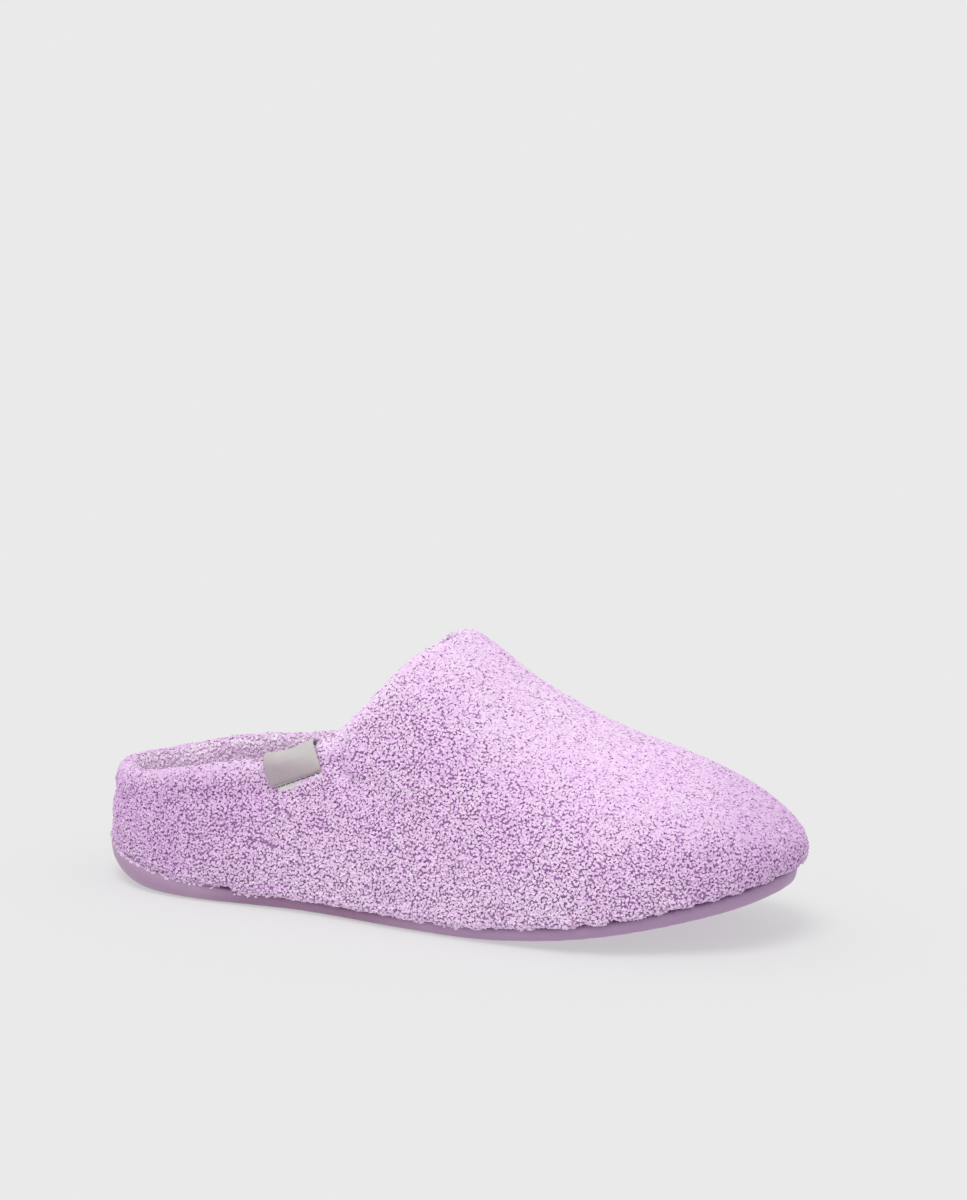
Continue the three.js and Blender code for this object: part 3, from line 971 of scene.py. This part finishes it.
def thread_piece(name, bm, material):
    piece = bpy.data.objects.new(name, bpy.data.meshes.new(name))
    bm.to_mesh(piece.data)
    bm.free()
    scene.collection.objects.link(piece)
    piece.data.materials.append(material)
    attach(piece, "root")
    return piece


strip_tree = tree_of(strip)
along_seam = shoe_point(*SEAM_END) - shoe_point(*SEAM_START)
bm = bmesh.new()
stitch_row(bm, SEAM_STITCHES, (0, 1), 0, along_seam, SEAM_STITCH)
seam = thread_piece("label_seam", bm, dark_thread_and_shadow)
bm = bmesh.new()
stitch_row(bm, TICKS, TICK_SHARES, TICK_DROP, TICK_LEAN, TICK_STITCH)
stitch_row(bm, BAR_STITCHES, BAR_SHARES, BAR_DROP, BAR_LEAN, BAR_STITCH)
stitches = thread_piece("label_stitches", bm, thread)
print("stitches:", SEAM_STITCHES + TICKS + BAR_STITCHES)

# %% [markdown]
# ## One loop of yarn
# A loop is a short bent tube with both feet in the cloth. A ring of three corners, extruded
# along a path in three steps, is enough at this size, and gives terry its knobby look. The
# facets stay flat, because smooth shading darkens so coarse a tube. Six loops that differ in
# bend and lean keep a field of them from looking stamped.

# %% The centre line of a loop
LOOP_STEPS = 3
SPAN = (0.5, 1.1)  # mm between the feet
RISE = (1.0, 1.35)  # mm that the top of the centre line lies above the feet
CURL = (0.05, 0.35)  # mm that each leg swings to its own side, across the loop
LEAN = (-0.3, 0.3)  # mm that the top leans along the loop
FOOT_DEPTH = 0.35  # mm that the feet reach into the cloth
NARROWING = 0.35  # share of the span that is lost at the top
ROUND_TOP = 0.8  # power that fills out the curve of the top
dice = random.Random(11)


def loop_path(kind):
    """The centre line of one loop, from foot to foot."""
    span = dice.uniform(*SPAN)
    height = dice.uniform(*RISE)
    curl = dice.uniform(*CURL) * (1 if kind % 2 else -1)
    lean = dice.uniform(*LEAN)
    path = []
    for step in range(LOOP_STEPS + 1):
        share = step / LOOP_STEPS
        rise = math.sin(math.pi * share) ** ROUND_TOP
        along = (share - 0.5) * span * (1 - NARROWING * rise) + lean * rise
        aside = curl * math.sin(2 * math.pi * share)
        path.append(Vector((along, aside, height * rise - FOOT_DEPTH)) * mm)
    return path


print("steps in a loop:", LOOP_STEPS)

# %% Six loops
LOOP_RADIUS = 0.66 * mm
LOOP_SIDES = 3
LOOP_KINDS = 6
FOOT_THICKNESS = 0.7  # share of the radius at the two feet
TIP_SPREAD = 0.5  # power that spreads the pale tip down the legs
loops = bpy.data.collections.new("loops")


def make_loop(kind):
    """One loop, with an attribute that is 0 at its feet and 1 at its tip."""
    path = loop_path(kind)
    bm = bmesh.new()
    tip_layer = bm.verts.layers.float.new("tip")
    start = bmesh.ops.create_circle(bm, segments=LOOP_SIDES, radius=LOOP_RADIUS)
    ring = list(start["verts"])
    for step, point in enumerate(path):
        before = path[max(step - 1, 0)]
        after = path[min(step + 1, LOOP_STEPS)]
        turn = (after - before).to_track_quat("Z", "Y").to_matrix()
        if step:
            edges = [e for e in bm.edges if e.verts[0] in ring and e.verts[1] in ring]
            grown = bmesh.ops.extrude_edge_only(bm, edges=edges)["geom"]
            ring = [g for g in grown if isinstance(g, bmesh.types.BMVert)]
        thick = LOOP_RADIUS * (1 if 0 < step < LOOP_STEPS else FOOT_THICKNESS)
        for corner, vert in enumerate(ring):
            angle = 2 * math.pi * corner / LOOP_SIDES
            flat = Vector((math.cos(angle), math.sin(angle), 0)) * thick
            vert.co = point + turn @ flat
            vert[tip_layer] = math.sin(math.pi * step / LOOP_STEPS) ** TIP_SPREAD
    mesh = bpy.data.meshes.new(f"loop_{kind}")
    bm.to_mesh(mesh)
    bm.free()
    loop = bpy.data.objects.new(f"loop_{kind}", mesh)
    loops.objects.link(loop)
    return loop


for kind in range(LOOP_KINDS):
    made = make_loop(kind)
print("a loop has", len(made.data.polygons), "faces")

# %% [markdown]
# ## The pile
# Geometry Nodes sow points over a patch of cloth, none closer than a set spacing, stand a loop
# on each with a random turn and tilt, and join them into one mesh. Points under the label, along
# the stitches and partings, and where the cloth is sewn into the sole are taken out first.
# Beside the sole the loops hang down over the rubber. On the top of the foot and along the rim
# they are pressed flat. Their colour follows the zones of the shoe, with painted light low down,
# along the rim and where the pile is pressed, and painted shade at the toe and heel.

# %% Points on the cloth
POINTS_OFFERED = 4.0  # for each square of the spacing, before the close ones are dropped


def distance_to(bench, thing, element):
    """How far a point lies from another object's faces or edges."""
    target = bench.put("GeometryNodeObjectInfo", {}, {"Object": thing}, out="Geometry")
    settings = {"target_element": element}
    return bench.put("GeometryNodeProximity", settings, {0: target}, out="Distance")


def sown_points(bench, spacing, seed):
    """Points at random on the patch, none closer to each other than the spacing."""
    settings = {"distribute_method": "POISSON"}
    inputs = {
        "Mesh": bench.put("NodeGroupInput"),
        "Distance Min": spacing,
        "Density Max": POINTS_OFFERED / spacing**2,
        "Seed": seed,
    }
    return bench.put("GeometryNodeDistributePointsOnFaces", settings, inputs)


def cleared(bench, points, blockers):
    """The points without those that lie too close to a blocker."""
    for blocker, element, clearance in blockers:
        away = distance_to(bench, blocker, element)
        settings = {"operation": "LESS_THAN"}
        close = bench.put("FunctionNodeCompare", settings, {0: away, 1: clearance})
        inputs = {"Geometry": points, "Selection": close}
        points = bench.put("GeometryNodeDeleteGeometry", {"domain": "POINT"}, inputs)
    return points


def stored(bench, geometry, domain, name, value):
    """The geometry with a number of each element stored under a name."""
    settings = {"data_type": "FLOAT", "domain": domain}
    inputs = {"Geometry": geometry, "Name": name, "Value": value}
    return bench.put("GeometryNodeStoreNamedAttribute", settings, inputs)


def recalled(bench, name):
    """The number that is stored under a name."""
    settings = {"data_type": "FLOAT"}
    return bench.put("GeometryNodeInputNamedAttribute", settings, {"Name": name})


def random_value(bench, data_type, inputs, out=0):
    return bench.put("FunctionNodeRandomValue", {"data_type": data_type}, inputs, out)


print("points offered on a square of the spacing:", POINTS_OFFERED)

# %% The zones of the shoe
FRONT_ZONE = (30 * mm, 100 * mm)  # along the shoe, from outside the zone to well inside
TOE_ZONE = (165 * mm, 215 * mm)
HEEL_ZONE = (-10 * mm, 60 * mm)  # along the shoe, from well inside to outside
LOW_ZONE = (10 * mm, 34 * mm)  # above the floor
RIM_ZONE = (2.5 * mm, 8 * mm)  # away from the line of the rim
SOLE_ZONE = (1.0 * mm, 4.5 * mm)  # away from the rubber
HANGING_LOST = 0.6  # share of the hanging that the front zone takes away


def zone_shares(bench):
    """How far a point is in each zone, as wires from 0 to 1."""
    place = bench.put("GeometryNodeInputPosition")
    along = bench.put("ShaderNodeSeparateXYZ", {}, {"Vector": place})
    return {
        "front": along.held(*FRONT_ZONE),
        "toe": along.held(*TOE_ZONE),
        "heel": 1 - along.held(*HEEL_ZONE),
        "low": 1 - along.other("Z").held(*LOW_ZONE),
        "rim": 1 - distance_to(bench, rim_line, "EDGES").held(*RIM_ZONE),
        "sole": 1 - distance_to(bench, sole, "FACES").held(*SOLE_ZONE),
    }


def hanging_share(zones, hang):
    """How far a loop hangs down: most beside the sole, and less in front."""
    return hang * zones["sole"] * (1 - HANGING_LOST * zones["front"])


print("the toe's zone ends at", TOE_ZONE[1] / mm, "mm")

# %% How a loop stands, and how large it is
LOOP_TILT = 0.35  # radians to any side
SIZE_LUCK = (0.85, 1.15)
SIZE_CLOUD_PITCH = 280
CLOUD_LEAST = 0.8
CLOUD_SPREAD = 0.4
FACING_UP = (0.25, 0.85)  # the cloth's upward facing, from a steep side to the flat top
PRESSED_WIDER = 0.25
PRESSED_LOWER = 0.45


def loop_turn(bench, sown, hanging, seed):
    """Square to the cloth, turned and tilted at random, and drawn down where it hangs."""
    least = (-LOOP_TILT, -LOOP_TILT, 0.0)
    most = (LOOP_TILT, LOOP_TILT, 2 * math.pi)
    turn = random_value(bench, "FLOAT_VECTOR", {0: least, 1: most, "Seed": seed + 1})
    spin = bench.put("FunctionNodeEulerToRotation", {}, {0: turn})
    inputs = {"Rotation": sown.other("Rotation"), "Factor": hanging, "Vector": (0, 0, -1)}
    leaning = bench.put("FunctionNodeAlignRotationToVector", {"axis": "Z"}, inputs)
    settings = {"rotation_space": "LOCAL"}
    return bench.put("FunctionNodeRotateRotation", settings, {0: leaning, 1: spin})


def pressed_share(bench, sown, zones, calm):
    """How flat the loops are pressed: on top of the foot, at the rim, or calm all over."""
    normal = sown.other("Normal")
    facing_up = bench.put("ShaderNodeSeparateXYZ", {}, {"Vector": normal}, out="Z")
    upward = bench.sum("MAXIMUM", facing_up.held(*FACING_UP), zones["rim"])
    return bench.sum("MAXIMUM", upward, calm)


def loop_size(bench, pressed, seed):
    """Sizes that differ by luck and in clouds, wider and lower where the pile is pressed."""
    smallest, largest = SIZE_LUCK
    inputs = {2: smallest, 3: largest, "Seed": seed + 2}
    place = bench.put("GeometryNodeInputPosition")
    cloud = noise(bench, place, scale=SIZE_CLOUD_PITCH, detail=1.0)
    size = random_value(bench, "FLOAT", inputs, out=1) * (CLOUD_LEAST + CLOUD_SPREAD * cloud)
    wide = size * (1 + PRESSED_WIDER * pressed)
    tall = size * (1 - PRESSED_LOWER * pressed)
    return bench.put("ShaderNodeCombineXYZ", {}, {"X": wide, "Y": wide, "Z": tall})


print("loops tilt by up to", round(math.degrees(LOOP_TILT)), "degrees")

# %% How pale a loop is
LUCK_SHARE = 0.5
CLOUD_SHARE = 0.5
CLOUD_PITCH = 45
PALE_START = -0.15
# Painted light: the low band is paler for the floor's bounce light, and the rim for the light on
# its rolled top.
LOW_PAINTED_BOUNCE = 0.15
TOE_PALER = 0.2
RIM_PAINTED_LIGHT = 0.2
HANGING_PALER = 0.6
# Pressing lifts part of the painted shade at the feet, so the top of the foot, the rim and the
# lining are painted lighter.
PRESSED_SHADE_LIFT = 0.6  # share by which pressing brings the tip's colour down the legs
# Painted shade: the toe and the heel, which turn away from the light, lose part of the tip's
# colour.
TOE_PAINTED_SHADE = 0.38  # shares of the tip's colour that the toe and the heel lose
HEEL_PAINTED_SHADE = 0.28


def loop_shade(bench, zones, hanging, seed):
    """From rose, at 0, to pale, at 1, by luck, in clouds and by the zones of the shoe, with
    painted light low down and along the rim.
    """
    luck = random_value(bench, "FLOAT", {"Seed": seed + 4}, out=1)
    cloud = noise(bench, bench.put("GeometryNodeInputPosition"), scale=CLOUD_PITCH)
    pale = luck * LUCK_SHARE + cloud * CLOUD_SHARE + PALE_START
    pale = pale + zones["low"] * LOW_PAINTED_BOUNCE + zones["toe"] * TOE_PALER + zones["rim"] * RIM_PAINTED_LIGHT
    return pale + hanging * HANGING_PALER


def loop_tip(bench, zones):
    """The tip's share all over, more where the pile is pressed, less at the toe and heel; a low
    share is painted shade.
    """
    tip = recalled(bench, "tip")
    open_tip = tip + (1 - tip) * recalled(bench, "pressed") * PRESSED_SHADE_LIFT
    return open_tip * (1 - TOE_PAINTED_SHADE * zones["toe"] - HEEL_PAINTED_SHADE * zones["heel"])


print("the loops that hang are paler by", HANGING_PALER)


# %% Sowing loops on cloth
def pile_nodes(spacing, seed, calm, paleness, hang, bare, material):
    """The node tree that turns a patch of cloth into a field of loops."""
    tree = bpy.data.node_groups.new("pile", "GeometryNodeTree")
    tree.interface.new_socket("Geometry", in_out="INPUT", socket_type="NodeSocketGeometry")
    tree.interface.new_socket("Geometry", in_out="OUTPUT", socket_type="NodeSocketGeometry")
    bench = Bench(tree)
    zones = zone_shares(bench)
    hanging = hanging_share(zones, hang)
    sown = sown_points(bench, spacing, seed)
    pressed = pressed_share(bench, sown, zones, calm)
    points = stored(bench, cleared(bench, sown, bare), "POINT", "pressed", pressed)
    kinds = bench.put(
        "GeometryNodeCollectionInfo",
        {},
        {"Collection": loops, "Separate Children": True, "Reset Children": True},
    )
    pick = random_value(bench, "INT", {4: 0, 5: LOOP_KINDS - 1, "Seed": seed + 3}, out=2)
    field = bench.put(
        "GeometryNodeInstanceOnPoints",
        {},
        {
            "Points": points,
            "Instance": kinds,
            "Pick Instance": True,
            "Instance Index": pick,
            "Rotation": loop_turn(bench, sown, hanging, seed),
            "Scale": loop_size(bench, pressed, seed),
        },
    )
    shade = loop_shade(bench, zones, hanging, seed) * paleness
    field = stored(bench, field, "INSTANCE", "shade", shade.held(0, 1, ease=False))
    joined = bench.put("GeometryNodeRealizeInstances", {}, {"Geometry": field})
    joined = stored(bench, joined, "POINT", "tip", loop_tip(bench, zones))
    inputs = {"Geometry": joined, "Material": material}
    dressed = bench.put("GeometryNodeSetMaterial", {}, inputs)
    bench.put("NodeGroupOutput", {}, {0: dressed})
    return tree


def patch_of(skin, name, wanted, sunk):
    """The part of a skin whose faces are wanted, as an object of its own, a little sunk."""
    patch = bpy.data.objects.new(name, skin.data.copy())
    scene.collection.objects.link(patch)
    bm = bmesh.new()
    bm.from_mesh(patch.data)
    unwanted = [f for f in bm.faces if not wanted(f.calc_center_median(), f.normal)]
    bmesh.ops.delete(bm, geom=unwanted, context="FACES")
    for vert in bm.verts:
        vert.co -= vert.normal * sunk
    area = sum(f.calc_area() for f in bm.faces) / mm**2
    bm.to_mesh(patch.data)
    bm.free()
    return patch, area


def lay_pile(name, skin, wanted, seed, look, sunk=0.0):
    """A field of loops on the wanted part of a skin."""
    pile, area = patch_of(skin, name, wanted, sunk)
    sow = pile.modifiers.new("pile", "NODES")
    sow.node_group = pile_nodes(seed=seed, **look)
    apply_modifiers(pile)
    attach(pile, "root")
    faces = len(pile.data.polygons)
    loops_made = faces // (LOOP_SIDES * LOOP_STEPS)
    print(f"{name}: {loops_made} loops on {area:.0f} mm2, {2 * faces} triangles")


# %% Where each stretch of pile lies
MIDDLE = 103 * mm  # the rear and front stretches of the outside meet here
LINING_END = 108 * mm  # past these no eye reaches into the toe
FOOTBED_END = 112 * mm
LINING_LOWEST = 26 * mm
FOOTBED_FACING = 0.5


def outside(side, front):
    """A test for one quarter of the outside of the upper."""

    def wanted(place, normal):
        return (
            faces_out(place, normal)
            and (place.y > 0) == (side > 0)
            and (place.x > MIDDLE) == front
        )

    return wanted


def inside(place, normal):
    return not faces_out(place, normal) and place.x < LINING_END and place.z > LINING_LOWEST


def footbed_top(place, normal):
    return normal.z > FOOTBED_FACING and place.x < FOOTBED_END


print("the outside is sown in four stretches, that meet at", MIDDLE / mm, "mm")

# %% [markdown]
# ## Partings
# Here and there the pile parts, and a short line of cloth shows, dark with the cloth's painted
# shade. The partings are loose edges laid on the cloth, and no loop is sown close to them.

# %% Partings
PARTINGS = (
    # side and route, in shares of the shoe's length and height
    (OUTER, ((0.243, 0.262), (0.255, 0.252), (0.268, 0.247), (0.280, 0.236), (0.289, 0.240))),
    (OUTER, ((0.255, 0.246), (0.262, 0.238))),
    (OUTER, ((0.345, 0.328), (0.351, 0.322))),
    (OUTER, ((0.576, 0.556), (0.582, 0.545), (0.590, 0.548))),
    (OUTER, ((0.666, 0.462), (0.672, 0.455), (0.684, 0.458))),
    (OUTER, ((0.682, 0.451), (0.692, 0.444))),
    (OUTER, ((0.715, 0.452), (0.722, 0.448))),
    (OUTER, ((0.808, 0.475), (0.813, 0.470))),
    (OUTER, ((0.873, 0.236), (0.882, 0.228), (0.890, 0.231))),
    (OUTER, ((0.30, 0.36), (0.307, 0.352))),
    (OUTER, ((0.155, 0.30), (0.163, 0.292), (0.168, 0.296))),
    (OUTER, ((0.47, 0.30), (0.478, 0.288))),
    (INNER, ((0.20, 0.27), (0.212, 0.262), (0.225, 0.258), (0.235, 0.247))),
    (INNER, ((0.44, 0.36), (0.452, 0.352), (0.461, 0.355))),
    (INNER, ((0.60, 0.50), (0.612, 0.492))),
    (INNER, ((0.70, 0.40), (0.706, 0.39), (0.718, 0.386))),
    (INNER, ((0.86, 0.25), (0.869, 0.243))),
)


def parting_edges(skin):
    """The stretches of every parting's route, laid on the cloth."""
    tree = tree_of(skin)
    for side, shares in PARTINGS:
        route = [outside_point(tree, side, along, up)[0] for along, up in shares]
        yield from zip(route, route[1:])


partings = edges_object("partings", parting_edges(upper_cloth))
print("edges along partings:", len(partings.data.edges))

# %% Sowing the outside and the hem
kept_clear = (
    # what the loops keep clear of, its faces or edges, and by how much
    (label, "FACES", 0.3 * mm),
    (seam, "FACES", 0.5 * mm),
    (stitches, "FACES", 0.5 * mm),
    (sole, "FACES", 0.05 * mm),
    (partings, "EDGES", 0.45 * mm),
)
OUTSIDE_LOOK = {
    "spacing": 0.80 * mm,
    "calm": 0.0,
    "paleness": 1.0,
    "hang": 0.75,
    "bare": kept_clear,
    "material": towelling,
}
HEM_LOOK = {**OUTSIDE_LOOK, "hang": 0.5, "bare": ()}
for name, side, front, seed in (
    ("pile_outer_rear", OUTER, False, 21),
    ("pile_outer_front", OUTER, True, 31),
    ("pile_inner_rear", INNER, False, 41),
    ("pile_inner_front", INNER, True, 51),
):
    lay_pile(name, upper_cloth, outside(side, front), seed, OUTSIDE_LOOK)

HEM_LOWEST_FACING = -0.35
LIP_TOP_FACING = 0.3
HEM_REACH = 0.7 * mm  # away from the cloth
HEEL_HEM = 1.0 * mm  # more of it at the heel
HEEL_HEM_ENDS = 40 * mm
HEM_FADE = 60 * mm
HEM_SUNK = 0.35 * mm
cloth_tree = tree_of(upper_cloth)


def hem(place, normal):
    """The top of the rubber lip beside the cloth, with more of its outer face at the heel."""
    on_lip = normal.z > LIP_TOP_FACING or faces_out(place, normal)
    if normal.z < HEM_LOWEST_FACING or not on_lip:
        return False
    heel = min(max((HEEL_HEM_ENDS - place.x) / HEM_FADE, 0), 1)
    return cloth_tree.find_nearest(place)[3] < HEM_REACH + HEEL_HEM * heel


lay_pile("pile_hem", sole, hem, 81, HEM_LOOK, sunk=HEM_SUNK)

# %% Sowing the lining and the footbed
LINING_LOOK = {
    "spacing": 1.1 * mm,
    "calm": 0.9,
    "paleness": 0.5,
    "hang": 0.0,
    "bare": kept_clear,
    "material": lining,
}
FOOTBED_LOOK = {**LINING_LOOK, "bare": ()}
lay_pile("pile_lining", upper_cloth, inside, 61, LINING_LOOK)
lay_pile("pile_footbed", footbed_pad, footbed_top, 71, FOOTBED_LOOK)

# %% [markdown]
# ## Sizes
# The sizes before and after dressing are gathered, and the dressed box is printed, so that the
# pile can be seen to stand only a little proud of the CAD box.

# %% Sizes and finish
for helper in (*loops.objects, rim_line, partings):
    bpy.data.objects.remove(helper)
bpy.data.collections.remove(loops)
dressed_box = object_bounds()
sizes = {
    "cad": [list(corner) for corner in cad_box],
    "dressed": [list(corner) for corner in dressed_box],
}
print("dressed box", sizes["dressed"])
